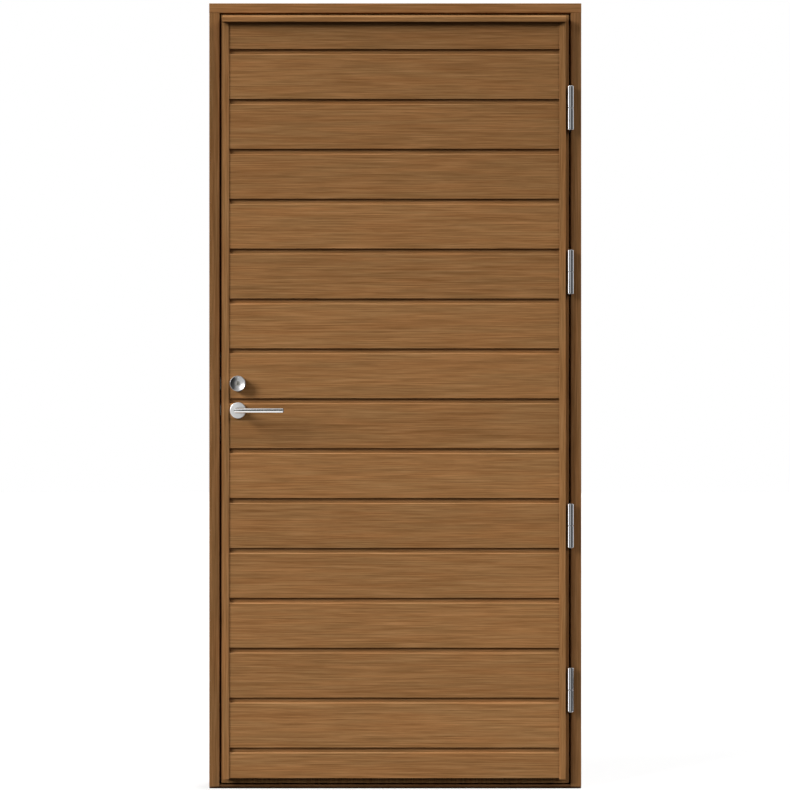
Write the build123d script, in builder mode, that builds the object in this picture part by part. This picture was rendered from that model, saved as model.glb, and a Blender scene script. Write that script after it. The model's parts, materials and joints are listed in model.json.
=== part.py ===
from build123d import *
import os

# Exterior door: a rebated timber frame, an insulated leaf clad outside with horizontal shiplap
# boards, four lift-off hinges and a lever lock set. It opens outwards, hinged on the right.
# Millimetres. +X is to the right seen from outside, -Y is outwards and +Z is up.
# The origin is the middle of the threshold's underside.

# Frame
frame_width = 990
frame_height = 2090
frame_depth = 105
jamb_face = 28
head_face = 26
stop_width = 15
frame_edge_radius = 2
fixing_diameter = 12
fixing_inner_offset = 285
fixing_outer_offset = 855

# Threshold
foot_height = 6
foot_setback = 6
nosing_height = 5
sill_stop_height = 22

# Leaf
leaf_gap = 5
core_thickness = 56
panel_thickness = 6
lock_bevel = 3
seal_space = 6
seal_width = 8
seal_clearance = 0.3
seal_round = 2.5
seal_joint = 0.5

# Cladding
board_thickness = 20
board_count = 16
bottom_board_cover = 81
top_board_cover = 70
groove_height = 13.5
groove_depth = 6
lap_height = 10
lap_clearance = 0.5
board_edge_radius = 2.5
strip_width = 17
strip_thickness = 22.5
strip_edge_radius = 2
lock_side_land = 5
hinge_side_land = 10
strip_bottom_land = 13.5
board_bottom_land = 16.5
cap_top_land = 7
cap_height = 17.5
cap_thickness = 33
cap_slope = 6
drip_width = 4
drip_depth = 3
drip_setback = 5

# Hinges
hinge_standoff = 14
hinge_end_distance = 250
hinge_inner_distance = 685
barrel_diameter = 18
barrel_length = 118
barrel_gap = 0.3
barrel_end_bevel = 2
pin_diameter = 10
pin_length = 44
pin_clearance = 0.05
pin_end_room = 2
hinge_plate_thickness = 3
hinge_plate_reach = 42

# Lock set: the lever sits on the lock board, at the drop below that board's upper lap
backset = 46
lock_board = 8
handle_drop = 32
cylinder_rise = 71
lock_depth = 28
rose_diameter = 43
rose_thickness = 8
rose_bevel = 1.5
lever_diameter = 14
lever_reach = 55
lever_length = 124
lever_end_bevel = 2.5
lever_clearance = 0.3
spindle_side = 8
spindle_engagement = 24
spindle_hole_diameter = 20
collar_diameter = 41
collar_height = 22
collar_rim = 1.2
dish_depth = 6.5
plug_diameter = 13
plug_clearance = 0.1
plug_length = 40
cylinder_hole_diameter = 24
keyway_width = 2
keyway_height = 7
keyway_depth = 20
turn_stem_diameter = 12
turn_stem_length = 14
turn_grip_length = 32
turn_grip_thickness = 9
turn_grip_height = 16
forend_width = 22
forend_height = 235
forend_thickness = 3
bolt_thickness = 12
latch_height = 26
deadbolt_height = 34
bolt_clearance = 0.3
bolt_depth = 25
strike_width = 26
strike_height = 240
strike_thickness = 3
strike_pocket_depth = 14
plate_end_flat = 1

# Levels and planes that the pieces share
front_y = -frame_depth / 2
back_y = frame_depth / 2
core_back_y = front_y + core_thickness
leaf_back_y = core_back_y + panel_thickness
leaf_thickness = core_thickness + panel_thickness
stop_y = leaf_back_y + seal_space
rebate_x = frame_width / 2 - jamb_face
stop_x = rebate_x - stop_width
head_z = frame_height - head_face
nosing_z = foot_height + nosing_height
leaf_x = rebate_x - leaf_gap
leaf_bottom_z = nosing_z + leaf_gap
leaf_top_z = head_z - leaf_gap
leaf_height = leaf_top_z - leaf_bottom_z
board_y = front_y - board_thickness
strip_left_x = -leaf_x + lock_side_land
strip_right_x = leaf_x - hinge_side_land
boards_left_x = strip_left_x + strip_width
boards_right_x = strip_right_x - strip_width
cap_top_z = leaf_top_z - cap_top_land
cap_bottom_z = cap_top_z - cap_height
boards_bottom_z = leaf_bottom_z + board_bottom_land
first_lap_z = boards_bottom_z + bottom_board_cover
last_lap_z = cap_bottom_z - top_board_cover
board_pitch = (last_lap_z - first_lap_z) / (board_count - 2)
lap_levels = [first_lap_z + board_pitch * k for k in range(board_count - 1)]
hinge_x = leaf_x + leaf_gap / 2
hinge_y = front_y - hinge_standoff
plate_end_y = front_y + hinge_plate_reach
hinge_levels = [
    leaf_bottom_z + hinge_end_distance,
    leaf_bottom_z + hinge_inner_distance,
    leaf_top_z - hinge_inner_distance,
    leaf_top_z - hinge_end_distance,
]
handle_x = -leaf_x + backset
handle_z = lap_levels[lock_board - 1] - handle_drop
cylinder_z = handle_z + cylinder_rise
lock_z = (handle_z + cylinder_z) / 2
lock_y = front_y + lock_depth
latch_z = handle_z
deadbolt_z = cylinder_z

os.makedirs("parts", exist_ok=True)


def keep(piece, name):
    piece.part.label = name
    export_step(piece.part, f"parts/{name}.step")


# Frame: one-piece rebated jambs under a full-width head, standing on the threshold's foot
def jamb_blank(side):
    with BuildPart() as jamb:
        with BuildSketch(Plane.XY.offset(foot_height)):
            with BuildLine():
                Polyline(
                    (side * frame_width / 2, front_y),
                    (side * rebate_x, front_y),
                    (side * rebate_x, stop_y),
                    (side * stop_x, stop_y),
                    (side * stop_x, back_y),
                    (side * frame_width / 2, back_y),
                    close=True,
                )
            make_face()
        extrude(amount=head_z - foot_height)
        upright = jamb.edges().filter_by(Axis.Z)
        fillet(upright.group_by(Axis.Y)[0], radius=frame_edge_radius)
        fixing_y = (stop_y + back_y) / 2
        fixing_middle_z = frame_height / 2
        with BuildSketch(Plane.YZ.offset(side * frame_width / 2)):
            for offset_z in (fixing_inner_offset, fixing_outer_offset):
                with Locations(
                    (fixing_y, fixing_middle_z - offset_z), (fixing_y, fixing_middle_z + offset_z)
                ):
                    Circle(fixing_diameter / 2)
        extrude(amount=-side * (jamb_face + stop_width), mode=Mode.SUBTRACT)
    return jamb


def strike_windows(clearance):
    with Locations((lock_y, latch_z)):
        Rectangle(bolt_thickness + 2 * clearance, latch_height + 2 * clearance)
    with Locations((lock_y, deadbolt_z)):
        Rectangle(bolt_thickness + 2 * clearance, deadbolt_height + 2 * clearance)


def strike_outline():
    with Locations((lock_y, lock_z)):
        RectangleRounded(strike_width, strike_height, (strike_width - plate_end_flat) / 2)


with BuildPart() as lock_jamb:
    add(jamb_blank(-1).part)
    with BuildSketch(Plane.YZ.offset(-rebate_x)):
        strike_outline()
    extrude(amount=-strike_thickness, mode=Mode.SUBTRACT)
    with BuildSketch(Plane.YZ.offset(-rebate_x)):
        strike_windows(bolt_clearance)
    extrude(amount=-strike_pocket_depth, mode=Mode.SUBTRACT)
keep(lock_jamb, "lock_jamb")

with BuildPart() as strike_plate:
    with BuildSketch(Plane.YZ.offset(-rebate_x)):
        strike_outline()
    extrude(amount=-strike_thickness)
    with BuildSketch(Plane.YZ.offset(-rebate_x)):
        strike_windows(bolt_clearance)
    extrude(amount=-strike_thickness, mode=Mode.SUBTRACT)
keep(strike_plate, "strike_plate")

half_barrel = (barrel_length - barrel_gap) / 2
with BuildPart() as hinge_jamb:
    add(jamb_blank(1).part)
    for level in hinge_levels:
        with BuildSketch(Plane.XY.offset(level - barrel_length / 2)):
            with Locations((rebate_x, front_y)):
                Rectangle(hinge_plate_thickness, hinge_plate_reach, align=(Align.MIN, Align.MIN))
        extrude(amount=half_barrel, mode=Mode.SUBTRACT)
keep(hinge_jamb, "hinge_jamb")

with BuildPart() as frame_head:
    with BuildSketch(Plane.XY.offset(head_z)):
        Rectangle(frame_width, frame_depth)
    extrude(amount=head_face)
    lower_front = frame_head.edges().filter_by(Axis.X).group_by(Axis.Y)[0]
    fillet(lower_front, radius=frame_edge_radius)
    with BuildSketch(Plane.XY.offset(head_z)):
        with Locations((0, stop_y)):
            Rectangle(2 * stop_x, back_y - stop_y, align=(Align.CENTER, Align.MIN))
    extrude(amount=-stop_width)
keep(frame_head, "frame_head")

with BuildPart() as threshold:
    with BuildSketch(Plane.XY):
        with Locations((0, front_y + foot_setback)):
            Rectangle(frame_width, frame_depth - foot_setback, align=(Align.CENTER, Align.MIN))
    extrude(amount=foot_height)
    with BuildSketch(Plane.XY.offset(foot_height)):
        with Locations((0, front_y)):
            Rectangle(2 * rebate_x, stop_y - front_y, align=(Align.CENTER, Align.MIN))
    extrude(amount=nosing_height)
    with BuildSketch(Plane.XY.offset(foot_height)):
        with Locations((0, stop_y)):
            Rectangle(2 * stop_x, back_y - stop_y, align=(Align.CENTER, Align.MIN))
    extrude(amount=sill_stop_height)
keep(threshold, "threshold")

# Weather seal: four round-nosed strips on the stops, just clear of the leaf's inner face
seal_y = leaf_back_y + seal_clearance
seal_thickness = stop_y - seal_y
seal_inset = (leaf_x - stop_x - seal_width) / 2
seal_inner_x = stop_x + seal_inset
seal_top_z = head_z - stop_width + seal_inset + seal_width
sill_stop_z = foot_height + sill_stop_height
seal_bottom_z = sill_stop_z - seal_inset - seal_width
cross_seal_x = seal_inner_x - seal_joint

with BuildPart() as weather_seal:
    with BuildSketch(Plane.XZ.offset(-stop_y)):
        for side, inner in ((-1, Align.MAX), (1, Align.MIN)):
            with Locations((side * seal_inner_x, seal_bottom_z)):
                Rectangle(seal_width, seal_top_z - seal_bottom_z, align=(inner, Align.MIN))
        with Locations((0, seal_bottom_z), (0, seal_top_z - seal_width)):
            Rectangle(2 * cross_seal_x, seal_width, align=(Align.CENTER, Align.MIN))
    extrude(amount=seal_thickness)
    nose = weather_seal.faces().filter_by(Axis.Y).group_by(Axis.Y)[0].edges()
    fillet(nose.filter_by(lambda edge: edge.length > seal_width), radius=seal_round)
keep(weather_seal, "weather_seal")


# Leaf: the lock edge is bevelled so that its inner corner clears the jamb as the leaf swings
def edge_x(y):
    return -leaf_x + lock_bevel * (y - front_y) / leaf_thickness


def leaf_slab(near_y, far_y):
    with BuildPart() as slab:
        with BuildSketch(Plane.XY.offset(leaf_bottom_z)):
            with BuildLine():
                Polyline(
                    (edge_x(near_y), near_y),
                    (leaf_x, near_y),
                    (leaf_x, far_y),
                    (edge_x(far_y), far_y),
                    close=True,
                )
            make_face()
        extrude(amount=leaf_height)
    return slab


lock_edge = Plane(
    origin=(edge_x(lock_y), lock_y, 0),
    x_dir=(-lock_bevel, -leaf_thickness, 0),
    z_dir=(-leaf_thickness, lock_bevel, 0),
)


def forend_outline():
    with Locations((0, lock_z)):
        RectangleRounded(forend_width, forend_height, (forend_width - plate_end_flat) / 2)


def bolt_outlines(clearance):
    with Locations((0, latch_z)):
        Rectangle(bolt_thickness + 2 * clearance, latch_height + 2 * clearance)
    with Locations((0, deadbolt_z)):
        Rectangle(bolt_thickness + 2 * clearance, deadbolt_height + 2 * clearance)


def lock_holes():
    with BuildSketch(Plane.XZ.offset(-back_y)) as holes:
        with Locations((handle_x, handle_z)):
            Circle(spindle_hole_diameter / 2)
        with Locations((handle_x, cylinder_z)):
            Circle(cylinder_hole_diameter / 2)
    extrude(holes.sketch, amount=frame_depth + board_thickness, mode=Mode.SUBTRACT)


with BuildPart() as leaf_core:
    add(leaf_slab(front_y, core_back_y).part)
    for level in hinge_levels:
        with BuildSketch(Plane.XY.offset(level + barrel_gap / 2)):
            with Locations((leaf_x, front_y)):
                Rectangle(hinge_plate_thickness, hinge_plate_reach, align=(Align.MAX, Align.MIN))
        extrude(amount=half_barrel, mode=Mode.SUBTRACT)
    with BuildSketch(lock_edge):
        forend_outline()
    extrude(amount=-forend_thickness, mode=Mode.SUBTRACT)
    with BuildSketch(lock_edge):
        bolt_outlines(0)
    extrude(amount=-bolt_depth, mode=Mode.SUBTRACT)
    lock_holes()
keep(leaf_core, "leaf_core")

with BuildPart() as inner_panel:
    add(leaf_slab(core_back_y, leaf_back_y).part)
    lock_holes()
keep(inner_panel, "inner_panel")

with BuildPart() as lock_forend:
    with BuildSketch(lock_edge):
        forend_outline()
    extrude(amount=-forend_thickness)
    with BuildSketch(lock_edge):
        bolt_outlines(bolt_clearance)
    extrude(amount=-forend_thickness, mode=Mode.SUBTRACT)
keep(lock_forend, "lock_forend")

with BuildPart() as lock_bolts:
    with BuildSketch(lock_edge):
        bolt_outlines(0)
    extrude(amount=-bolt_depth)
keep(lock_bolts, "lock_bolts")


# Cladding: two edge strips, a drip cap over them, and shiplap boards between
def edge_strip(left_x):
    with BuildPart() as strip:
        with BuildSketch(Plane.XY.offset(leaf_bottom_z + strip_bottom_land)):
            with Locations((left_x, front_y)):
                Rectangle(strip_width, strip_thickness, align=(Align.MIN, Align.MAX))
        extrude(amount=cap_bottom_z - leaf_bottom_z - strip_bottom_land)
        fillet(strip.edges().filter_by(Axis.Z).group_by(Axis.Y)[0], radius=strip_edge_radius)
    return strip


lock_edge_strip = edge_strip(strip_left_x)
keep(lock_edge_strip, "lock_edge_strip")
hinge_edge_strip = edge_strip(boards_right_x)
keep(hinge_edge_strip, "hinge_edge_strip")

cap_y = front_y - cap_thickness
drip_y = cap_y + drip_setback
with BuildPart() as drip_cap:
    with BuildSketch(Plane.YZ.offset(strip_left_x)):
        with BuildLine():
            Polyline(
                (front_y, cap_bottom_z),
                (front_y, cap_top_z),
                (cap_y + cap_slope, cap_top_z),
                (cap_y, cap_top_z - cap_slope),
                (cap_y, cap_bottom_z),
                (drip_y, cap_bottom_z),
                (drip_y, cap_bottom_z + drip_depth),
                (drip_y + drip_width, cap_bottom_z + drip_depth),
                (drip_y + drip_width, cap_bottom_z),
                close=True,
            )
        make_face()
    extrude(amount=strip_right_x - strip_left_x)
keep(drip_cap, "drip_cap")

tongue_y = board_y + groove_depth
for number, (low_z, high_z) in enumerate(zip([None] + lap_levels, lap_levels + [None]), start=1):
    # Each board hangs over the tongue below it and carries a tongue for the board above
    if low_z is None:
        lower_edge = [(front_y, boards_bottom_z), (board_y, boards_bottom_z)]
    else:
        lower_edge = [
            (front_y, low_z + lap_height + lap_clearance),
            (tongue_y - lap_clearance, low_z + lap_height + lap_clearance),
            (tongue_y - lap_clearance, low_z),
            (board_y, low_z),
        ]
    if high_z is None:
        upper_edge = [(board_y, cap_bottom_z), (front_y, cap_bottom_z)]
    else:
        upper_edge = [
            (board_y, high_z - groove_height),
            (tongue_y, high_z - groove_height),
            (tongue_y, high_z + lap_height),
            (front_y, high_z + lap_height),
        ]
    with BuildPart() as board:
        with BuildSketch(Plane.YZ.offset(boards_left_x)):
            with BuildLine():
                Polyline(*lower_edge, *upper_edge, close=True)
            make_face()
        extrude(amount=boards_right_x - boards_left_x)
        if high_z is not None:
            front_edges = board.edges().filter_by(Axis.X).group_by(Axis.Y)[0]
            fillet(front_edges.sort_by(Axis.Z)[-1], radius=board_edge_radius)
        lock_holes()
    keep(board, f"board_{number:02d}")


# Hinges: the frame half carries the pin, and the leaf half lifts off it
def hinge_plate(low_z, inner_x):
    with BuildSketch(Plane.XY.offset(low_z)) as plate:
        with Locations((inner_x, hinge_y)):
            Rectangle(hinge_plate_thickness, plate_end_y - hinge_y, align=(Align.MIN, Align.MIN))
    extrude(plate.sketch, amount=half_barrel)


for number, level in enumerate(hinge_levels, start=1):
    frame_half_z = level - barrel_length / 2
    leaf_half_z = level + barrel_gap / 2
    with BuildPart() as frame_half:
        with BuildSketch(Plane.XY.offset(frame_half_z)):
            with Locations((hinge_x, hinge_y)):
                Circle(barrel_diameter / 2)
        extrude(amount=half_barrel)
        chamfer(frame_half.edges().group_by(Axis.Z)[0], length=barrel_end_bevel)
        hinge_plate(frame_half_z, rebate_x)
        with BuildSketch(Plane.XY.offset(frame_half_z + half_barrel)):
            with Locations((hinge_x, hinge_y)):
                Circle(pin_diameter / 2)
        extrude(amount=pin_length)
    keep(frame_half, f"hinge_{number}_frame_half")
    with BuildPart() as leaf_half:
        with BuildSketch(Plane.XY.offset(leaf_half_z)):
            with Locations((hinge_x, hinge_y)):
                Circle(barrel_diameter / 2)
        extrude(amount=half_barrel)
        chamfer(leaf_half.edges().group_by(Axis.Z)[-1], length=barrel_end_bevel)
        hinge_plate(leaf_half_z, leaf_x - hinge_plate_thickness)
        with BuildSketch(Plane.XY.offset(leaf_half_z)):
            with Locations((hinge_x, hinge_y)):
                Circle(pin_diameter / 2 + pin_clearance)
        extrude(amount=pin_length + pin_end_room, mode=Mode.SUBTRACT)
    keep(leaf_half, f"hinge_{number}_leaf_half")


# Lock set: levers on both faces turn one square spindle
def rose(face_y, out, level, bore):
    with BuildPart() as disc:
        with BuildSketch(Plane(origin=(handle_x, face_y, level), x_dir=(1, 0, 0), z_dir=(0, out, 0))):
            Circle(rose_diameter / 2)
            Circle(bore / 2, mode=Mode.SUBTRACT)
        extrude(amount=rose_thickness)
        outer_rim = disc.edges().filter_by(GeomType.CIRCLE).sort_by(Axis.Y, reverse=out < 0)[-2:]
        chamfer(outer_rim.sort_by(SortBy.RADIUS)[-1], length=rose_bevel)
    return disc


lever_bore = lever_diameter + 2 * lever_clearance
outer_rose = rose(board_y, -1, handle_z, lever_bore)
keep(outer_rose, "outer_rose")
inner_rose = rose(leaf_back_y, 1, handle_z, lever_bore)
keep(inner_rose, "inner_rose")


def lever(face_y, out):
    neck_y = face_y + out * lever_clearance
    grip_y = face_y + out * lever_reach
    with BuildPart() as handle:
        with BuildLine() as route:
            Polyline(
                (handle_x, neck_y, handle_z),
                (handle_x, grip_y, handle_z),
                (handle_x + lever_length, grip_y, handle_z),
            )
        with BuildSketch(Plane(origin=(handle_x, neck_y, handle_z), z_dir=(0, out, 0))):
            Circle(lever_diameter / 2)
        sweep(path=route.wires()[0], transition=Transition.RIGHT)
        far_rim = handle.edges().filter_by(GeomType.CIRCLE).sort_by(Axis.X)[-1]
        chamfer(far_rim, length=lever_end_bevel)
        with BuildSketch(Plane(origin=(handle_x, neck_y, handle_z), z_dir=(0, out, 0))):
            Rectangle(spindle_side, spindle_side)
        extrude(amount=spindle_engagement, mode=Mode.SUBTRACT)
    return handle


outer_lever = lever(board_y, -1)
keep(outer_lever, "outer_lever")
inner_lever = lever(leaf_back_y, 1)
keep(inner_lever, "inner_lever")

spindle_start_y = board_y - lever_clearance - spindle_engagement
spindle_end_y = leaf_back_y + lever_clearance + spindle_engagement
with BuildPart() as spindle:
    with BuildSketch(Plane.XZ.offset(-spindle_start_y)):
        with Locations((handle_x, handle_z)):
            Rectangle(spindle_side, spindle_side)
    extrude(amount=-(spindle_end_y - spindle_start_y))
keep(spindle, "spindle")

# Key cylinder: a turned collar, whose face is a spherical dish that ends at the plug
collar_y = board_y - collar_height
dish_mouth = collar_diameter / 2 - collar_rim
dish_radius = (dish_mouth**2 + dish_depth**2) / (2 * dish_depth)
plug_bore = plug_diameter / 2 + plug_clearance


def dish_y(radius):
    return collar_y + dish_depth - dish_radius + (dish_radius**2 - radius**2) ** 0.5


plug_face_y = dish_y(plug_bore)
cylinder_axis = Axis((handle_x, 0, cylinder_z), (0, 1, 0))
with BuildPart() as cylinder_collar:
    with BuildSketch(Plane(origin=(handle_x, 0, cylinder_z), x_dir=(1, 0, 0), z_dir=(0, 0, 1))):
        with BuildLine():
            Polyline(
                (plug_bore, plug_face_y),
                (plug_bore, board_y),
                (collar_diameter / 2, board_y),
                (collar_diameter / 2, collar_y),
                (dish_mouth, collar_y),
            )
            mid_dish = (dish_mouth + plug_bore) / 2
            ThreePointArc((dish_mouth, collar_y), (mid_dish, dish_y(mid_dish)), (plug_bore, plug_face_y))
        make_face()
    revolve(axis=cylinder_axis)
keep(cylinder_collar, "cylinder_collar")

with BuildPart() as cylinder_plug:
    with BuildSketch(Plane.XZ.offset(-plug_face_y)):
        with Locations((handle_x, cylinder_z)):
            Circle(plug_diameter / 2)
    extrude(amount=-plug_length)
    with BuildSketch(Plane.XZ.offset(-plug_face_y)):
        with Locations((handle_x, cylinder_z)):
            Rectangle(keyway_width, keyway_height)
    extrude(amount=-keyway_depth, mode=Mode.SUBTRACT)
keep(cylinder_plug, "cylinder_plug")

# Thumbturn inside: its rose and a flat grip on a round stem
thumbturn_rose = rose(leaf_back_y, 1, cylinder_z, turn_stem_diameter + 2 * plug_clearance)
keep(thumbturn_rose, "thumbturn_rose")

turn_grip_y = leaf_back_y + rose_thickness + turn_stem_length
with BuildPart() as thumbturn:
    with BuildSketch(Plane.XZ.offset(-leaf_back_y)):
        with Locations((handle_x, cylinder_z)):
            Circle(turn_stem_diameter / 2)
    extrude(amount=-(turn_grip_y - leaf_back_y))
    with BuildSketch(Plane.XZ.offset(-turn_grip_y)):
        with Locations((handle_x, cylinder_z)):
            SlotOverall(turn_grip_length, turn_grip_thickness, rotation=90)
    extrude(amount=-turn_grip_height)
keep(thumbturn, "thumbturn")
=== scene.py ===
import json
import math
import bmesh
import bpy
from mathutils import Matrix, Vector


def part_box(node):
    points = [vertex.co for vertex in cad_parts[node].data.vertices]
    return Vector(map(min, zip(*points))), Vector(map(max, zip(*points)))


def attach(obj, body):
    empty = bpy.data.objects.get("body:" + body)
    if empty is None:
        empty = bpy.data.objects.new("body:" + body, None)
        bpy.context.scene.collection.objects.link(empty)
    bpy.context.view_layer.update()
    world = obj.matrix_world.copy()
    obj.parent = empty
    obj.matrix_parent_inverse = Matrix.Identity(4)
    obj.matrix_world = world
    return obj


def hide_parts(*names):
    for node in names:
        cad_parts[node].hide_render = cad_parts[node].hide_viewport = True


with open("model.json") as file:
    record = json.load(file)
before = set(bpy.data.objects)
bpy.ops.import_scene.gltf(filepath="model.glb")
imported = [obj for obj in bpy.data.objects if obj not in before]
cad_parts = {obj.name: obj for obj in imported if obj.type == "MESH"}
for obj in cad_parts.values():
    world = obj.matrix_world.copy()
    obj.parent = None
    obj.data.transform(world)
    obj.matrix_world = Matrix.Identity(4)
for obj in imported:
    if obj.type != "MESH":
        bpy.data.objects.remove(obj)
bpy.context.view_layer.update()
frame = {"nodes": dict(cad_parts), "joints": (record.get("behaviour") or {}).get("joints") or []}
nodes = frame["nodes"]
joints = {joint["name"]: joint for joint in frame["joints"]}
hingeLine = Vector(joints["leaf_swing"]["pos_m"])
scene = bpy.context.scene
scene.view_settings.view_transform = "Standard"
print("frame loaded,", len(nodes), "nodes")

# Camera: straight on, at half the door's height
cameraSet = dict(place=(-0.0007, -5.0525, 1.0477), lens=85.65, sensor=36.0)
cameraData = bpy.data.cameras.new("camera")
cameraData.lens = cameraSet["lens"]
cameraData.sensor_width = cameraSet["sensor"]
camera = bpy.data.objects.new("camera", cameraData)
camera.location = cameraSet["place"]
camera.rotation_euler = (math.pi / 2, 0, 0)
scene.collection.objects.link(camera)
scene.camera = camera
print("camera placed")


# A shader node with its inputs set: a socket is linked, anything else is a plain value
def addNode(tree, kind, inputs=None, **settings):
    made = tree.nodes.new("ShaderNode" + kind)
    for name, value in settings.items():
        setattr(made, name, value)
    for name, value in (inputs or {}).items():
        if isinstance(value, bpy.types.NodeSocket):
            tree.links.new(value, made.inputs[name])
        else:
            made.inputs[name].default_value = value
    return made


def combine(tree, kind, operation, *values, **settings):
    return addNode(tree, kind, dict(enumerate(values)), operation=operation, **settings).outputs[0]


# A value carried over from one span to another, and held at its ends
def spread(tree, value, span, result):
    limits = dict(zip(("From Min", "From Max", "To Min", "To Max"), (*span, *result)))
    return addNode(tree, "MapRange", {"Value": value, **limits}).outputs[0]


def newMaterial(name):
    material = bpy.data.materials.new(name)
    material.use_nodes = True
    tree = material.node_tree
    return material, tree, tree.nodes["Principled BSDF"]


# 1 for rays that show the background: straight, mirrored or through glass
def shownRay(tree):
    rays = addNode(tree, "LightPath").outputs
    seen = combine(tree, "Math", "ADD", rays["Is Camera Ray"], rays["Is Glossy Ray"])
    return combine(tree, "Math", "ADD", seen, rays["Is Transmission Ray"], use_clamp=True)


# A thing of the studio, which the named kinds of ray don't meet
def addStage(name, bm, unseenBy=(), material=None):
    mesh = bpy.data.meshes.new(name)
    bm.to_mesh(mesh)
    bm.free()
    if material:
        mesh.materials.append(material)
    thing = bpy.data.objects.new(name, mesh)
    scene.collection.objects.link(thing)
    for ray in unseenBy:
        setattr(thing, "visible_" + ray, False)


def rectangle(corner, along, up):
    bm = bmesh.new()
    corner, along, up = Vector(corner), Vector(along), Vector(up)
    points = (corner, corner + along, corner + along + up, corner + up)
    bm.faces.new([bm.verts.new(point) for point in points])
    return bm


# Studio: white surroundings, a wide key far to the left, a fill far to the right, a little front light
# and a rear light. Only the key shines in the steel, the cards below do the rest.
studioSet = dict(
    ambient=0.035,
    lamps=dict(
        key=dict(aim=(1.8, 1.0, -1.12), strength=4.75, spread=28, shine=True),
        fill=dict(aim=(-2.6, 1.0, -2.1), strength=3.0, spread=34, shine=False),
        front=dict(aim=(0.45, 1.0, -0.40), strength=0.24, spread=14, shine=False),
        rear=dict(aim=(-0.5, -1.0, -0.7), strength=3.3, spread=40, shine=False),
    ),
)
world = bpy.data.worlds.new("studio")
scene.world = world
world.use_nodes = True
tree = world.node_tree
backdrop = tree.nodes["Background"]
backdrop.inputs["Color"].default_value = (1, 1, 1, 1)
glow = spread(tree, shownRay(tree), (0, 1), (studioSet["ambient"], 1))
tree.links.new(glow, backdrop.inputs["Strength"])
for lampName, lampSet in studioSet["lamps"].items():
    lampData = bpy.data.lights.new(lampName, "SUN")
    lampData.energy = lampSet["strength"]
    lampData.angle = math.radians(lampSet["spread"])
    lamp = bpy.data.objects.new(lampName, lampData)
    lamp.rotation_euler = Vector(lampSet["aim"]).to_track_quat("-Z", "Y").to_euler()
    lamp.visible_glossy = lampSet["shine"]
    scene.collection.objects.link(lamp)

# A flag high in front of the key, so that the light falls off softly towards the head
flagSet = dict(
    distance=4.5,
    low=4.95,
    high=9.0,
    halfWidth=5.0,
    unseenBy=("camera", "diffuse", "glossy", "transmission", "volume_scatter"),
)
keyAim = Vector(studioSet["lamps"]["key"]["aim"])
towardKey = Vector((-keyAim.x, -keyAim.y, 0)).normalized()
across = Vector((-towardKey.y, towardKey.x, 0)) * flagSet["halfWidth"]
flagCorner = towardKey * flagSet["distance"] - across + Vector((0, 0, flagSet["low"]))
flagShape = rectangle(flagCorner, across * 2, (0, 0, flagSet["high"] - flagSet["low"]))
addStage("flag", flagShape, flagSet["unseenBy"])

# Pale floor that shows white and keeps the door's shadow, with little bounce on the door
floorSet = dict(reach=15.0, bounce=0.06, tone=0.275, glow=0.66)
floorMaterial, tree, shader = newMaterial("floor")
shader.inputs["Roughness"].default_value = 1.0
shader.inputs["Specular IOR Level"].default_value = 0.0
shader.inputs["Emission Color"].default_value = (1, 1, 1, 1)
shown = shownRay(tree)
floorTone = spread(tree, shown, (0, 1), (floorSet["bounce"], floorSet["tone"]))
floorGlow = spread(tree, shown, (0, 1), (0, floorSet["glow"]))
tree.links.new(floorTone, shader.inputs["Base Color"])
tree.links.new(floorGlow, shader.inputs["Emission Strength"])
bm = bmesh.new()
bmesh.ops.create_grid(bm, x_segments=1, y_segments=1, size=floorSet["reach"])
addStage("floor", bm, material=floorMaterial)

# Cards that only mirrors see, for the stripes on the polished steel
cardSet = dict(
    reach=0.6,
    height=2.3,
    steps=8,
    back=0.05,
    unseenBy=("camera", "diffuse", "transmission", "volume_scatter", "shadow"),
    fan=dict(  # from and to angle round the hinge line, brightness
        edgeCard=(-92, -56, 2.5),
        sideCard=(-56, -24, 0.05),
        leftCard=(-24, 10, 0.55),
        rightCard=(10, 94, 0.11),
    ),
    panels=dict(  # corner, one side, the other side, brightness
        handleDark=((-0.72, -3.0, 0.0), (0.32, 0.0, 0.0), (0.0, 0.0, 6.0), 0.06),
        lockDark=((0.15, -0.45, 0.0), (0.0, -1.25, 0.0), (0.0, 0.0, 3.0), 0.01),
        floorDark=((-0.28, -0.2, 0.004), (2.28, 0.0, 0.0), (0.0, -2.8, 0.0), 0.04),
        backFloorDark=((-2.5, 0.25, 0.004), (5.0, 0.0, 0.0), (0.0, 3.75, 0.0), 0.05),
    ),
)


def addCard(name, bm, brightness):
    material, tree, shader = newMaterial(name)
    shader.inputs["Base Color"].default_value = (0, 0, 0, 1)
    shader.inputs["Specular IOR Level"].default_value = 0.0
    shader.inputs["Emission Color"].default_value = (1, 1, 1, 1)
    behind = addNode(tree, "NewGeometry").outputs["Backfacing"]
    oneSided = spread(tree, behind, (0, 1), (brightness, cardSet["back"]))
    tree.links.new(oneSided, shader.inputs["Emission Strength"])
    addStage(name, bm, cardSet["unseenBy"], material)


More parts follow.
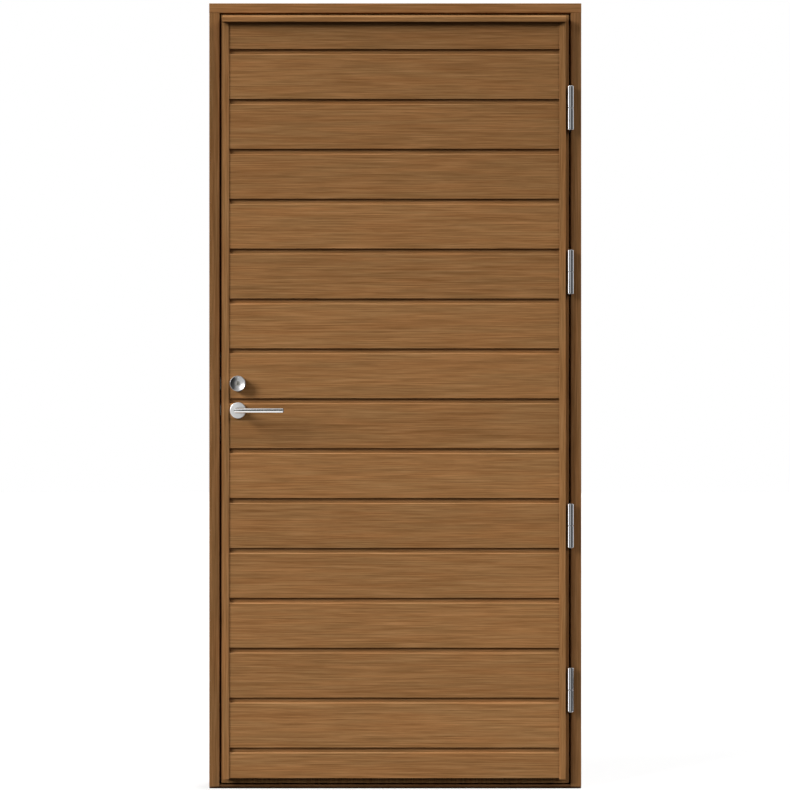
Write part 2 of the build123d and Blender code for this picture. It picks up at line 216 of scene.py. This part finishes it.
# the fan stands round the hinge line, each card swept through its angles and facing inwards
for cardName, (fromAngle, toAngle, brightness) in cardSet["fan"].items():
    bm = bmesh.new()
    verts = [bm.verts.new((0, -cardSet["reach"], height)) for height in (0, cardSet["height"])]
    edges = [bm.edges.new(verts)]
    turnStart = Matrix.Rotation(math.radians(fromAngle), 3, "Z")
    bmesh.ops.rotate(bm, cent=(0, 0, 0), matrix=turnStart, verts=verts)
    sweep = dict(cent=(0, 0, 0), axis=(0, 0, 1), angle=math.radians(toAngle - fromAngle))
    bmesh.ops.spin(bm, geom=verts + edges, steps=cardSet["steps"], **sweep)
    bm.normal_update()
    outwardFaces = [f for f in bm.faces if f.normal.dot(f.calc_center_median() * Vector((1, 1, 0))) > 0]
    bmesh.ops.reverse_faces(bm, faces=outwardFaces)
    bmesh.ops.translate(bm, verts=bm.verts, vec=(hingeLine.x, hingeLine.y, 0))
    addCard(cardName, bm, brightness)
for cardName, (corner, along, up, brightness) in cardSet["panels"].items():
    addCard(cardName, rectangle(corner, along, up), brightness)
print("studio lit")

# Wood: fine straight streaks along one axis, over a slow figure and short dark pores.
# It is matt, so that it doesn't mirror the cards.
woodSet = dict(
    dark=(0.178, 0.084, 0.030),
    mid=(0.254, 0.125, 0.047),
    light=(0.348, 0.181, 0.075),
    stops=(0.30, 0.5, 0.72),
    warm=(1.0, 0.945, 0.90),
    cool=(0.955, 0.975, 0.98),
    hueStops=(0.35, 0.65),
    streak=(0.14, 0.0030, 5.0, 0.62),  # noises: length and height of a cell, detail, roughness
    figure=(0.5, 0.024, 3.0, 0.5),
    hue=(0.24, 0.016, 2.0, 0.5),
    pore=(0.05, 0.0011, 2.0, 0.5),
    sway=(0.6, 0.08, 2.0, 0.5),
    swayWidth=0.004,
    figureTone=(0.94, 1.06),
    poreSpan=(0.60, 0.74),
    poreTone=(1.0, 0.80),
    roughness=(0.54, 0.40),
    gloss=0.0,
    # painted highlight on what faces up: the span of the normal's Z over which it rises, then its gain
    topLitSpan=(0.15, 0.75),
    topLitGain=(0.25, 0.31, 0.44),
    bump=0.2,
    bumpHeight=0.0004,
    softEdge=0.0009,
    softSamples=4,
)
grainTurn = dict(X=(0, 0, 0), Z=(0, math.pi / 2, 0))
noiseSpan = (0.3, 0.7)  # where most of a noise lies


# Noise drawn out along X, with its cells in metres
def drawnNoise(tree, vector, noise):
    length, height, detail, rough = noise
    stretch = (1 / length, 1 / height, 1 / height)
    fitted = addNode(tree, "Mapping", {"Vector": vector, "Scale": stretch}).outputs[0]
    return addNode(tree, "TexNoise", {"Vector": fitted, "Scale": 1.0, "Detail": detail, "Roughness": rough})


def colourRamp(tree, value, positions, colours):
    ramp = addNode(tree, "ValToRGB", {"Fac": value})
    stops = ramp.color_ramp.elements
    stops[0].position, stops[1].position = positions[0], positions[-1]
    for position in positions[1:-1]:
        stops.new(position)
    for stop, colour in zip(stops, colours):
        stop.color = (*colour, 1)
    return ramp.outputs[0]


# Where the grain is read: along the piece, wandering a little across it
def grainPlace(tree, grain, shift):
    place = addNode(tree, "TexCoord").outputs["Object"]
    turn = {"Vector": place, "Location": shift, "Rotation": grainTurn[grain]}
    along = addNode(tree, "Mapping", turn).outputs[0]
    sway = drawnNoise(tree, along, woodSet["sway"]).outputs["Color"]
    centred = combine(tree, "VectorMath", "SUBTRACT", sway, (0.5, 0.5, 0.5))
    width = (0, woodSet["swayWidth"], woodSet["swayWidth"])
    swung = combine(tree, "VectorMath", "MULTIPLY", centred, width)
    return combine(tree, "VectorMath", "ADD", along, swung)


# Painted highlight: what faces up is made lighter, standing in for the light that falls on tops and arrises
def paintedTopLight(tree):
    facing = addNode(tree, "SeparateXYZ", {0: addNode(tree, "NewGeometry").outputs["Normal"]}).outputs["Z"]
    topLit = spread(tree, facing, woodSet["topLitSpan"], (0, 1))
    return combine(tree, "VectorMath", "MULTIPLY_ADD", topLit, woodSet["topLitGain"], (1, 1, 1))


def woodMaterial(name, grain, shift, tone):
    material, tree, shader = newMaterial(name)
    place = grainPlace(tree, grain, shift)
    streak, figure, hue, pore = (
        drawnNoise(tree, place, woodSet[noise]).outputs[0] for noise in ("streak", "figure", "hue", "pore")
    )
    stains = []
    for stain in ("dark", "mid", "light"):
        stains.append([part * share for part, share in zip(woodSet[stain], tone)])
    stained = colourRamp(tree, streak, woodSet["stops"], stains)
    tint = colourRamp(tree, hue, woodSet["hueStops"], (woodSet["warm"], woodSet["cool"]))
    figureTone = spread(tree, figure, noiseSpan, woodSet["figureTone"])
    poreTone = spread(tree, pore, woodSet["poreSpan"], woodSet["poreTone"])
    shade = combine(tree, "Math", "MULTIPLY", figureTone, poreTone)
    colour = stained
    # the grain's tint and a painted highlight on what faces up lie over the stain
    for layer in (combine(tree, "VectorMath", "MULTIPLY", tint, shade), paintedTopLight(tree)):
        colour = combine(tree, "VectorMath", "MULTIPLY", colour, layer)
    tree.links.new(colour, shader.inputs["Base Color"])
    tree.links.new(spread(tree, streak, noiseSpan, woodSet["roughness"]), shader.inputs["Roughness"])
    shader.inputs["Specular IOR Level"].default_value = woodSet["gloss"]
    # open grain, and edges eased as a plane leaves them
    relief = combine(tree, "Math", "MULTIPLY", streak, poreTone)
    eased = addNode(tree, "Bevel", {"Radius": woodSet["softEdge"]}, samples=woodSet["softSamples"]).outputs[0]
    depth = {"Strength": woodSet["bump"], "Distance": woodSet["bumpHeight"]}
    bump = addNode(tree, "Bump", {**depth, "Height": relief, "Normal": eased})
    tree.links.new(bump.outputs[0], shader.inputs["Normal"])
    return material


def dress(nodeName, material):
    mesh = nodes[nodeName].data
    mesh.materials.clear()
    mesh.materials.append(material)


# Boards are cut from different planks: the grain is shifted and the tone swings a little
boardSet = dict(step=(0.61, 0.37, 0.23), toneSwing=0.045, toneStep=2.4)
boardNames = sorted(name for name in nodes if name.startswith("board_"))
for index, boardName in enumerate(boardNames):
    shift = [part * (index + 1) for part in boardSet["step"]]
    swing = 1 + boardSet["toneSwing"] * math.sin(boardSet["toneStep"] * index)
    dress(boardName, woodMaterial(boardName + "_wood", "X", shift, (swing, swing, swing)))
timberSet = dict(  # grain, shift of the grain, tone
    lock_jamb=("Z", (3.1, 0.2, 0.4), (0.92, 0.92, 0.93)),
    hinge_jamb=("Z", (5.3, 0.7, 0.9), (0.94, 0.94, 0.97)),
    frame_head=("X", (7.7, 0.1, 0.6), (1.07, 1.05, 1.05)),
    threshold=("X", (9.2, 0.5, 0.3), (0.44, 0.40, 0.42)),
    leaf_core=("Z", (1.9, 0.4, 0.8), (0.92, 0.92, 0.92)),
    inner_panel=("Z", (2.6, 0.9, 0.1), (1.0, 1.0, 1.0)),
    lock_edge_strip=("Z", (4.4, 0.6, 0.7), (0.98, 0.98, 0.99)),
    hinge_edge_strip=("Z", (6.8, 0.3, 0.2), (1.02, 1.02, 1.02)),
    drip_cap=("X", (8.5, 0.8, 0.5), (1.03, 1.03, 1.03)),
)
for pieceName, (grain, shift, tone) in timberSet.items():
    dress(pieceName, woodMaterial(pieceName + "_wood", grain, shift, tone))
print("timber stained,", len(boardNames), "boards")

# Steel: drawn or turned marks in the roughness and a faint relief
steelSet = dict(
    hinge=dict(
        colour=(0.66, 0.67, 0.69), roughness=(0.08, 0.12), cell=(0.02, 0.0006), grain="X", bump=0.0,
        satin=(-0.0575, -0.0555), satinRough=0.28,
    ),
    lock=dict(colour=(0.58, 0.58, 0.58), roughness=(0.30, 0.42), cell=(0.05, 0.0003), grain="Z", bump=0.06),
    bolt=dict(colour=(0.34, 0.34, 0.35), roughness=(0.24, 0.34), cell=(0.03, 0.0003), grain="X", bump=0.04),
    grip=dict(colour=(0.80, 0.80, 0.79), roughness=(0.06, 0.11), cell=(0.05, 0.0003), grain="X", bump=0.0),
    rose=dict(colour=(0.66, 0.66, 0.655), roughness=(0.30, 0.40), cell=(0.03, 0.0003), grain="X", bump=0.03),
    collar=dict(colour=(0.38, 0.38, 0.38), roughness=(0.32, 0.40), cell=(0.02, 0.0004), grain="X", bump=0.03),
    plug=dict(colour=(0.37, 0.36, 0.33), roughness=(0.22, 0.32), cell=(0.02, 0.0003), grain="X", bump=0.04),
)
markSet = dict(
    height=0.00005,
    noise=(3.0, 0.6),  # detail, roughness
    smudge=60.0,
    smudgeDetail=2.0,
    span=(0.1, 0.4),
    tint=(0.97, 1.02),
)


def steelMaterial(name, look):
    material, tree, shader = newMaterial(name)
    place = addNode(tree, "TexCoord").outputs["Object"]
    along = addNode(tree, "Mapping", {"Vector": place, "Rotation": grainTurn[look["grain"]]}).outputs[0]
    marks = drawnNoise(tree, along, (*look["cell"], *markSet["noise"])).outputs[0]
    blur = {"Vector": place, "Scale": markSet["smudge"], "Detail": markSet["smudgeDetail"]}
    smudge = addNode(tree, "TexNoise", blur).outputs[0]
    wear = combine(tree, "Math", "MULTIPLY", marks, smudge)
    shine = spread(tree, wear, markSet["span"], look["roughness"])
    # knuckles are polished, the plates behind them are left satin
    if "satin" in look:
        behind = addNode(tree, "SeparateXYZ", {0: place}).outputs["Y"]
        plate = spread(tree, behind, look["satin"], (0, look["satinRough"]))
        shine = combine(tree, "Math", "ADD", shine, plate)
    tree.links.new(shine, shader.inputs["Roughness"])
    shade = spread(tree, smudge, noiseSpan, markSet["tint"])
    toned = combine(tree, "VectorMath", "MULTIPLY", look["colour"], shade)
    tree.links.new(toned, shader.inputs["Base Color"])
    shader.inputs["Metallic"].default_value = 1.0
    bump = addNode(tree, "Bump", {"Strength": look["bump"], "Distance": markSet["height"], "Height": marks})
    tree.links.new(bump.outputs[0], shader.inputs["Normal"])
    return material


steel = {name: steelMaterial(name + "_steel", look) for name, look in steelSet.items()}
for pieceName in ("strike_plate", "lock_forend", "spindle"):
    dress(pieceName, steel["lock"])
dress("lock_bolts", steel["bolt"])
dress("cylinder_plug", steel["plug"])

# Rubber seal: matt black with a fine skin
sealSet = dict(
    colour=(0.018, 0.018, 0.019),
    skin=900.0,
    skinDetail=3.0,
    skinTone=(0.7, 1.3),
    roughness=(0.5, 0.72),
)
sealMaterial, tree, shader = newMaterial("seal_rubber")
place = addNode(tree, "TexCoord").outputs["Object"]
pattern = {"Vector": place, "Scale": sealSet["skin"], "Detail": sealSet["skinDetail"]}
skin = addNode(tree, "TexNoise", pattern).outputs[0]
shade = spread(tree, skin, noiseSpan, sealSet["skinTone"])
toned = combine(tree, "VectorMath", "MULTIPLY", sealSet["colour"], shade)
tree.links.new(toned, shader.inputs["Base Color"])
tree.links.new(spread(tree, skin, noiseSpan, sealSet["roughness"]), shader.inputs["Roughness"])
dress("weather_seal", sealMaterial)
print("steel and rubber made")

# How shapes are rounded, turned and joined
shapeSet = dict(cornerSteps=4, edgeSteps=3, steps=72, fineSteps=96, weld=1e-6, sharpAngle=32)
easing = dict(offset_type="OFFSET", profile=0.5, material=-1)


# A turned shape: corners are radius, height and rounding, spun round the Z of its place
def turned(place, corners, closed=False, steps=shapeSet["steps"]):
    bm = bmesh.new()
    verts = [bm.verts.new((radius, 0, height)) for radius, height, soft in corners]
    for pair in zip(verts, verts[1:]):
        bm.edges.new(pair)
    if closed:
        bm.edges.new((verts[-1], verts[0]))
    for vert, (radius, height, soft) in zip(verts, corners):
        if soft:
            rounding = dict(offset=soft, segments=shapeSet["cornerSteps"], **easing)
            bmesh.ops.bevel(bm, geom=[vert], affect="VERTICES", **rounding)
    spin = dict(cent=(0, 0, 0), axis=(0, 0, 1), angle=2 * math.pi, steps=steps, use_merge=True)
    bmesh.ops.spin(bm, geom=bm.verts[:] + bm.edges[:], **spin)
    bmesh.ops.remove_doubles(bm, verts=bm.verts, dist=shapeSet["weld"])
    bmesh.ops.recalc_face_normals(bm, faces=bm.faces)
    bmesh.ops.transform(bm, matrix=place, verts=bm.verts)
    return bm


def plainBox(low, high):
    bm = bmesh.new()
    middle = Matrix.Translation((Vector(low) + Vector(high)) / 2)
    size = Vector(high) - Vector(low)
    bmesh.ops.create_cube(bm, size=1.0, matrix=middle @ Matrix.Diagonal((*size, 1.0)))
    return bm


def roundEdges(bm, edges, soft, steps):
    bmesh.ops.bevel(bm, geom=edges, affect="EDGES", offset=soft, segments=steps, **easing)


def onlyVerts(geometry):
    return [item for item in geometry if isinstance(item, bmesh.types.BMVert)]


def ringEdges(verts):
    return list(dict.fromkeys(edge for vert in verts for edge in vert.link_edges))


# Countersunk screw head with a cross recess, on the XY of its place and facing its Z
screwSet = dict(radius=0.0042, sides=24, proud=0.0003, rim=0.0008, cross=0.55, recess=0.0012)


def screwHead(place):
    bm = bmesh.new()
    half = screwSet["radius"] * screwSet["cross"]
    bmesh.ops.create_grid(bm, x_segments=3, y_segments=3, size=half)
    # of nine squares, the cross is those with a middle on one of the axes
    cross = [f for f in bm.faces if min(map(abs, f.calc_center_median()[:2])) < shapeSet["weld"]]
    edge = [e for e in bm.edges if e.is_boundary]
    sunk = onlyVerts(bmesh.ops.extrude_face_region(bm, geom=cross)["geom"])
    bmesh.ops.translate(bm, verts=sunk, vec=(0, 0, -screwSet["recess"]))
    rim = bmesh.ops.create_circle(bm, segments=screwSet["sides"], radius=screwSet["radius"])["verts"]
    rimEdges = ringEdges(rim)
    bmesh.ops.bridge_loops(bm, edges=edge + rimEdges)
    skirt = onlyVerts(bmesh.ops.extrude_edge_only(bm, edges=rimEdges)["geom"])
    bmesh.ops.translate(bm, verts=skirt, vec=(0, 0, -screwSet["rim"]))
    bmesh.ops.edgeloop_fill(bm, edges=[e for e in bm.edges if e.is_boundary])
    bmesh.ops.recalc_face_normals(bm, faces=bm.faces)
    bmesh.ops.translate(bm, verts=bm.verts, vec=(0, 0, screwSet["proud"]))
    bmesh.ops.transform(bm, matrix=place, verts=bm.verts)
    return bm


# Joins shapes into one piece, set on a body and taking the place of its solids
def makePiece(name, shapes, material, body, replaced=()):
    mesh = bpy.data.meshes.new(name)
    whole = bmesh.new()
    for shape in shapes:
        shape.to_mesh(mesh)
        shape.free()
        whole.from_mesh(mesh)
    whole.to_mesh(mesh)
    whole.free()
    mesh.materials.append(material)
    mesh.shade_smooth()
    mesh.set_sharp_from_angle(angle=math.radians(shapeSet["sharpAngle"]))
    piece = bpy.data.objects.new(name, mesh)
    scene.collection.objects.link(piece)
    piece.modifiers.new("face normals", "WEIGHTED_NORMAL").keep_sharp = True
    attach(piece, body)
    if replaced:
        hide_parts(*replaced)


# Hinges: lower knuckle with its pin on the frame, upper knuckle on the leaf, three screws a plate
hingeSet = dict(
    count=4,
    endRound=0.0026,
    splitRound=0.0016,
    pinRadius=0.005,
    boreRadius=0.00505,
    pinRound=0.001,
    plate=0.003,
    plateEdge=0.0004,
    screws=((-0.019, 0.031), (0.0, 0.019), (0.019, 0.031)),  # up from the middle, in from the face
)
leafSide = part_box("leaf_core")[1].x
rebateSide = 2 * hingeLine.x - leafSide
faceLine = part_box("hinge_jamb")[0].y
faceLeft = Matrix.Rotation(-math.pi / 2, 4, "Y")
faceRight = Matrix.Rotation(math.pi / 2, 4, "Y")


def hingePlate(fromX, toX, backY, lowZ, highZ):
    bm = plainBox((fromX, hingeLine.y, lowZ), (toX, backY, highZ))
    roundEdges(bm, bm.edges[:], hingeSet["plateEdge"], shapeSet["edgeSteps"])
    return bm


def plateScrews(faceX, middleZ, facing):
    places = [(faceX, faceLine + inward, middleZ + rise) for rise, inward in hingeSet["screws"]]
    return [screwHead(Matrix.Translation(place) @ facing) for place in places]


for number in range(1, hingeSet["count"] + 1):
    frameHalf, leafHalf = f"hinge_{number}_frame_half", f"hinge_{number}_leaf_half"
    frameLow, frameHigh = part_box(frameHalf)
    leafLow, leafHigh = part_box(leafHalf)
    radius = (leafHigh.x - leafLow.x) / 2
    knuckle = leafHigh.z - leafLow.z
    split = frameLow.z + knuckle
    pinTop = frameHigh.z
    boreTop = pinTop + hingeSet["pinRound"]
    axis = Matrix.Translation((hingeLine.x, hingeLine.y, 0))
    lower = turned(axis, [
        (0, frameLow.z, 0),
        (radius, frameLow.z, hingeSet["endRound"]),
        (radius, split, hingeSet["splitRound"]),
        (hingeSet["pinRadius"], split, 0),
        (hingeSet["pinRadius"], pinTop, hingeSet["pinRound"]),
        (0, pinTop, 0),
    ])
    upper = turned(axis, [
        (0, boreTop, 0),
        (hingeSet["boreRadius"], boreTop, 0),
        (hingeSet["boreRadius"], leafLow.z, 0),
        (radius, leafLow.z, hingeSet["splitRound"]),
        (radius, leafHigh.z, hingeSet["endRound"]),
        (0, leafHigh.z, 0),
    ])
    framePlate = hingePlate(rebateSide, rebateSide + hingeSet["plate"], frameHigh.y, frameLow.z, split)
    leafPlate = hingePlate(leafSide - hingeSet["plate"], leafSide, frameHigh.y, leafLow.z, leafHigh.z)
    frameShapes = [lower, framePlate] + plateScrews(rebateSide, frameLow.z + knuckle / 2, faceLeft)
    leafShapes = [upper, leafPlate] + plateScrews(leafSide, leafLow.z + knuckle / 2, faceRight)
    makePiece(f"hinge_{number}_lower", frameShapes, steel["hinge"], "frame", [frameHalf])
    makePiece(f"hinge_{number}_upper", leafShapes, steel["hinge"], "leaf", [leafHalf])
print("hinges hung")

# Lever sets: a bevelled rose and a mitred round lever on each face
outward = {"outer": Matrix.Rotation(math.pi / 2, 4, "X"), "inner": Matrix.Rotation(-math.pi / 2, 4, "X")}
leverSet = dict(sides=56, mitreEdge=0.0004, mitreSteps=2, endBevel=0.0022, endSteps=3)
roseSet = dict(bevel=0.0016, bore=0.0073, boreEdge=0.0004)


def lever(place, radius, reach, length):
    bm = bmesh.new()
    ring = bmesh.ops.create_circle(bm, segments=leverSet["sides"], radius=radius)["verts"]
    edges = ringEdges(ring)
    bmesh.ops.edgeloop_fill(bm, edges=edges)
    # the neck ends on the mitre, half way between the neck and the grip
    mitre = Matrix(((1, 0, 0, 0), (0, 1, 0, 0), (-1, 0, 0, reach), (0, 0, 0, 1)))
    gripEnd = Matrix(((0, 0, 0, length), (0, 1, 0, 0), (0, 0, 1, 0), (0, 0, 0, 1)))
    rings = []
    for move in (mitre, gripEnd):
        grown = bmesh.ops.extrude_edge_only(bm, edges=edges)["geom"]
        edges = [e for e in grown if isinstance(e, bmesh.types.BMEdge) and e.is_boundary]
        bmesh.ops.transform(bm, matrix=move, verts=onlyVerts(grown))
        rings.append(edges)
    bmesh.ops.edgeloop_fill(bm, edges=edges)
    mitreRing, endRing = rings
    roundEdges(bm, endRing, leverSet["endBevel"], leverSet["endSteps"])
    roundEdges(bm, mitreRing, leverSet["mitreEdge"], leverSet["mitreSteps"])
    bmesh.ops.recalc_face_normals(bm, faces=bm.faces)
    bmesh.ops.transform(bm, matrix=place, verts=bm.verts)
    return bm


# The disc that stands for a rose: bevelled rim, bored, on the side of the door that it faces
def roseDisc(nodeName, side, bore):
    low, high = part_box(nodeName)
    foot = high.y if side == "outer" else low.y
    middle = (low + high) / 2
    radius, height = (high.x - low.x) / 2, high.y - low.y
    place = Matrix.Translation((middle.x, foot, middle.z)) @ outward[side]
    disc = turned(place, [
        (bore, 0, 0),
        (radius, 0, 0),
        (radius, height, roseSet["bevel"]),
        (bore, height, roseSet["boreEdge"]),
    ], closed=True, steps=shapeSet["fineSteps"])
    return disc, place


for side, turn in outward.items():
    disc, rosePlace = roseDisc(side + "_rose", side, roseSet["bore"])
    makePiece(side + "_rose_disc", [disc], steel["rose"], "leaf", [side + "_rose"])
    leverLow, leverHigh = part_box(side + "_lever")
    leverFoot = leverHigh.y if side == "outer" else leverLow.y
    radius = (leverHigh.z - leverLow.z) / 2
    leverPlace = Matrix.Translation((leverLow.x + radius, leverFoot, rosePlace.translation.z)) @ turn
    reach = leverHigh.y - leverLow.y - radius
    bar = lever(leverPlace, radius, reach, leverHigh.x - leverLow.x - radius)
    makePiece(side + "_grip", [bar], steel["grip"], "lever", [side + "_lever"])

# Key collar: a ring with a spherical dish round the plug
collarSet = dict(rim=0.0012, hollow=0.0065, bore=0.0066, rimEdge=0.0004, mouthEdge=0.0002, rings=12)
collarLow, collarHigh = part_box("cylinder_collar")
middle = (collarLow + collarHigh) / 2
height = collarHigh.y - collarLow.y
collarRadius = (collarHigh.x - collarLow.x) / 2
mouth = collarRadius - collarSet["rim"]
dishRadius = (mouth ** 2 + collarSet["hollow"] ** 2) / (2 * collarSet["hollow"])
place = Matrix.Translation((middle.x, collarHigh.y, middle.z)) @ outward["outer"]
corners = [
    (collarSet["bore"], 0, 0),
    (collarRadius, 0, 0),
    (collarRadius, height, collarSet["rimEdge"]),
    (mouth, height, collarSet["mouthEdge"]),
]
for step in range(1, collarSet["rings"] + 1):
    radius = mouth + (collarSet["bore"] - mouth) * step / collarSet["rings"]
    sag = dishRadius - math.sqrt(dishRadius ** 2 - radius ** 2)
    corners.append((radius, height - collarSet["hollow"] + sag, 0))
collar = turned(place, corners, closed=True, steps=shapeSet["fineSteps"])
makePiece("key_collar", [collar], steel["collar"], "leaf", ["cylinder_collar"])

# Thumbturn inside: rose, stem and a flat grip with round ends
thumbSet = dict(
    stem=0.006,
    stemRoom=0.0001,
    gripSide=0.0042,
    gripDepth=0.016,
    gripRound=0.004116,  # just under gripSide
    gripRoundSteps=10,
    gripEdge=0.0012,
)
disc, rosePlace = roseDisc("thumbturn_rose", "inner", thumbSet["stem"] + thumbSet["stemRoom"])
roseFoot = rosePlace.translation
turnLow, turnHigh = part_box("thumbturn")
gripFoot = turnHigh.y - thumbSet["gripDepth"]
stemTop = gripFoot - roseFoot.y
stem = turned(rosePlace, [
    (0, 0, 0),
    (thumbSet["stem"], 0, 0),
    (thumbSet["stem"], stemTop, 0),
    (0, stemTop, 0),
])
gripLow = (roseFoot.x - thumbSet["gripSide"], gripFoot, turnLow.z)
gripHigh = (roseFoot.x + thumbSet["gripSide"], turnHigh.y, turnHigh.z)
grip = plainBox(gripLow, gripHigh)
ends = [e for e in grip.edges if abs(e.verts[0].co.y - e.verts[1].co.y) > thumbSet["gripEdge"]]
roundEdges(grip, ends, thumbSet["gripRound"], thumbSet["gripRoundSteps"])
rims = [e for e in grip.edges if abs(e.verts[0].co.y - e.verts[1].co.y) < shapeSet["weld"]]
roundEdges(grip, rims, thumbSet["gripEdge"], shapeSet["edgeSteps"])
makePiece("thumbturn_disc", [disc], steel["rose"], "leaf", ["thumbturn_rose"])
makePiece("thumbturn_grip", [stem, grip], steel["grip"], "leaf", ["thumbturn"])

# Screws near the ends of the forend and the strike plate. The lock edge is planed at a slight bevel.
edgeSet = dict(forendInset=0.012, strikeInset=0.013, bevel=0.003)
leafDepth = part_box("inner_panel")[1].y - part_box("leaf_core")[0].y
edgeSlope = edgeSet["bevel"] / leafDepth
edgeTurn = Matrix.Rotation(math.atan(edgeSlope), 4, "Z")


def endScrews(low, high, faceX, inset, facing):
    places = [(faceX, (low.y + high.y) / 2, level) for level in (low.z + inset, high.z - inset)]
    return [screwHead(Matrix.Translation(place) @ facing) for place in places]


forendLow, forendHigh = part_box("lock_forend")
strikeLow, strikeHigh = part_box("strike_plate")
forendFace = forendLow.x + edgeSlope * (forendHigh.y - forendLow.y) / 2
forendScrews = endScrews(forendLow, forendHigh, forendFace, edgeSet["forendInset"], edgeTurn @ faceLeft)
strikeScrews = endScrews(strikeLow, strikeHigh, strikeHigh.x, edgeSet["strikeInset"], faceRight)
makePiece("forend_screws", forendScrews, steel["lock"], "leaf")
makePiece("strike_screws", strikeScrews, steel["lock"], "frame")
print("lock set fitted")
